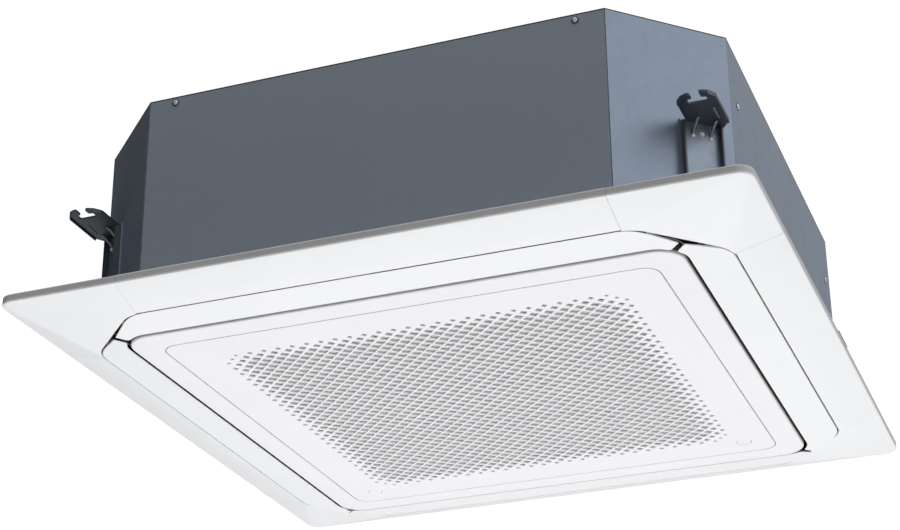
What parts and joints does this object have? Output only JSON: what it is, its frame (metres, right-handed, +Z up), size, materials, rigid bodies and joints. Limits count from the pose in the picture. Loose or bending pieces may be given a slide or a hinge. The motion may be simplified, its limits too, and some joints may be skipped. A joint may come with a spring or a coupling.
{
  "type": "ceiling cassette air conditioner",
  "caption": "Square ceiling cassette air conditioner: a sheet-steel body on rod hangers over a white panel with edge louvres and a perforated hinged intake grille.",
  "frame": {"origin": "the centre of the panel in the finished ceiling's plane, which the panel's rim ends in", "axes": "+Z up into the ceiling void, -Y towards the grille's hinge side, which the picture shows at the front left, and +X to the right of it"},
  "size_m": [0.95, 0.95, 0.3017],
  "materials": {
    "galvanised_sheet": "satin",
    "bracket_steel": "satin",
    "panel_plastic": "satin",
    "filter_plastic": "matte",
    "foam": "matte",
    "seal_foam": "matte",
    "coil_aluminium": "satin",
    "duct_plastic": "satin",
    "motor_casting": "satin",
    "zinc_steel": "satin",
    "circuit_board": "satin",
    "black_plastic": "satin",
    "white_plastic": "satin",
    "black_rubber": "matte",
    "copper": "satin",
    "brass": "satin"
  },
  "bodies": {
    "housing": {"panel_frame": "panel_plastic", "panel_seal": "seal_foam", "vane_motor_back": "black_plastic", "vane_motor_left": "black_plastic", "vane_motor_front": "black_plastic", "vane_motor_right": "black_plastic", "side_panel_back": "galvanised_sheet", "side_panel_left": "galvanised_sheet", "side_panel_front": "galvanised_sheet", "side_panel_right": "galvanised_sheet", "corner_sheet_back_right": "galvanised_sheet", "corner_sheet_back_left": "galvanised_sheet", "corner_sheet_front_left": "galvanised_sheet", "corner_sheet_front_right": "galvanised_sheet", "top_plate": "galvanised_sheet", "hanger_bracket_back_right": "bracket_steel", "hanger_bracket_back_left": "bracket_steel", "hanger_bracket_front_right": "bracket_steel", "hanger_bracket_front_left": "bracket_steel", "insulation_liner": "foam", "drain_pan": "foam", "heat_exchanger": "coil_aluminium", "bell_mouth": "duct_plastic", "control_box": "galvanised_sheet", "control_board": "circuit_board", "control_box_cover": "galvanised_sheet", "fan_motor": "motor_casting", "motor_mount_1": "black_rubber", "motor_mount_2": "black_rubber", "motor_mount_3": "black_rubber", "drain_pump": "black_plastic", "float_switch": "black_plastic", "drain_hose": "black_rubber", "drain_socket": "white_plastic", "gas_pipe": "copper", "liquid_pipe": "copper", "gas_flare_nut": "brass", "liquid_flare_nut": "brass", "wiring_grommet": "black_rubber"},
    "rotor": {"turbo_fan": "duct_plastic", "fan_nut": "zinc_steel"},
    "louvre_front": {"vane_front": "panel_plastic"},
    "louvre_right": {"vane_right": "panel_plastic"},
    "louvre_back": {"vane_back": "panel_plastic"},
    "louvre_left": {"vane_left": "panel_plastic"},
    "grille": {"intake_grille": "panel_plastic"},
    "latch_right": {"grille_latch_right": "panel_plastic"},
    "latch_left": {"grille_latch_left": "panel_plastic"},
    "filter": {"air_filter": "filter_plastic"},
    "cover_back_right": {"corner_cover_back_right": "panel_plastic"},
    "cover_back_left": {"corner_cover_back_left": "panel_plastic"},
    "cover_front_left": {"corner_cover_front_left": "panel_plastic"},
    "cover_front_right": {"corner_cover_front_right": "panel_plastic"},
    "float_body": {"float": "white_plastic"}
  },
  "joints": [
    {"name": "fan_spin", "type": "hinge", "parent": "housing", "child": "rotor", "pos_m": [0, 0, 0.15], "axis": [0, 0, 1], "continuous": true},
    {"name": "louvre_front_tilt", "type": "hinge", "parent": "housing", "child": "louvre_front", "pos_m": [0, -0.392, -0.02], "axis": [1, 0, 0], "range_deg": [0, 60]},
    {"name": "louvre_right_tilt", "type": "hinge", "parent": "housing", "child": "louvre_right", "pos_m": [0.392, 0, -0.02], "axis": [0, 1, 0], "range_deg": [0, 60]},
    {"name": "louvre_back_tilt", "type": "hinge", "parent": "housing", "child": "louvre_back", "pos_m": [0, 0.392, -0.02], "axis": [-1, 0, 0], "range_deg": [0, 60]},
    {"name": "louvre_left_tilt", "type": "hinge", "parent": "housing", "child": "louvre_left", "pos_m": [-0.392, 0, -0.02], "axis": [0, -1, 0], "range_deg": [0, 60]},
    {"name": "grille_hinge", "type": "hinge", "parent": "housing", "child": "grille", "pos_m": [0, -0.348, -0.025], "axis": [-1, 0, 0], "range_deg": [0, 90]},
    {"name": "latch_right_press", "type": "slide", "parent": "grille", "child": "latch_right", "axis": [0, 0, 1], "range_m": [0, 0.0035], "stiffness_N_per_m": 800},
    {"name": "latch_left_press", "type": "slide", "parent": "grille", "child": "latch_left", "axis": [0, 0, 1], "range_m": [0, 0.0035], "stiffness_N_per_m": 800},
    {"name": "filter_lift", "type": "slide", "parent": "grille", "child": "filter", "axis": [0, 0, 1], "range_m": [0, 0.006]},
    {"name": "cover_back_right_pull", "type": "slide", "parent": "housing", "child": "cover_back_right", "axis": [0, 0, -1], "range_m": [0, 0.04]},
    {"name": "cover_back_left_pull", "type": "slide", "parent": "housing", "child": "cover_back_left", "axis": [0, 0, -1], "range_m": [0, 0.04]},
    {"name": "cover_front_left_pull", "type": "slide", "parent": "housing", "child": "cover_front_left", "axis": [0, 0, -1], "range_m": [0, 0.04]},
    {"name": "cover_front_right_pull", "type": "slide", "parent": "housing", "child": "cover_front_right", "axis": [0, 0, -1], "range_m": [0, 0.04]},
    {"name": "float_rise", "type": "slide", "parent": "housing", "child": "float_body", "axis": [0, 0, 1], "range_m": [0, 0.012]}
  ]
}
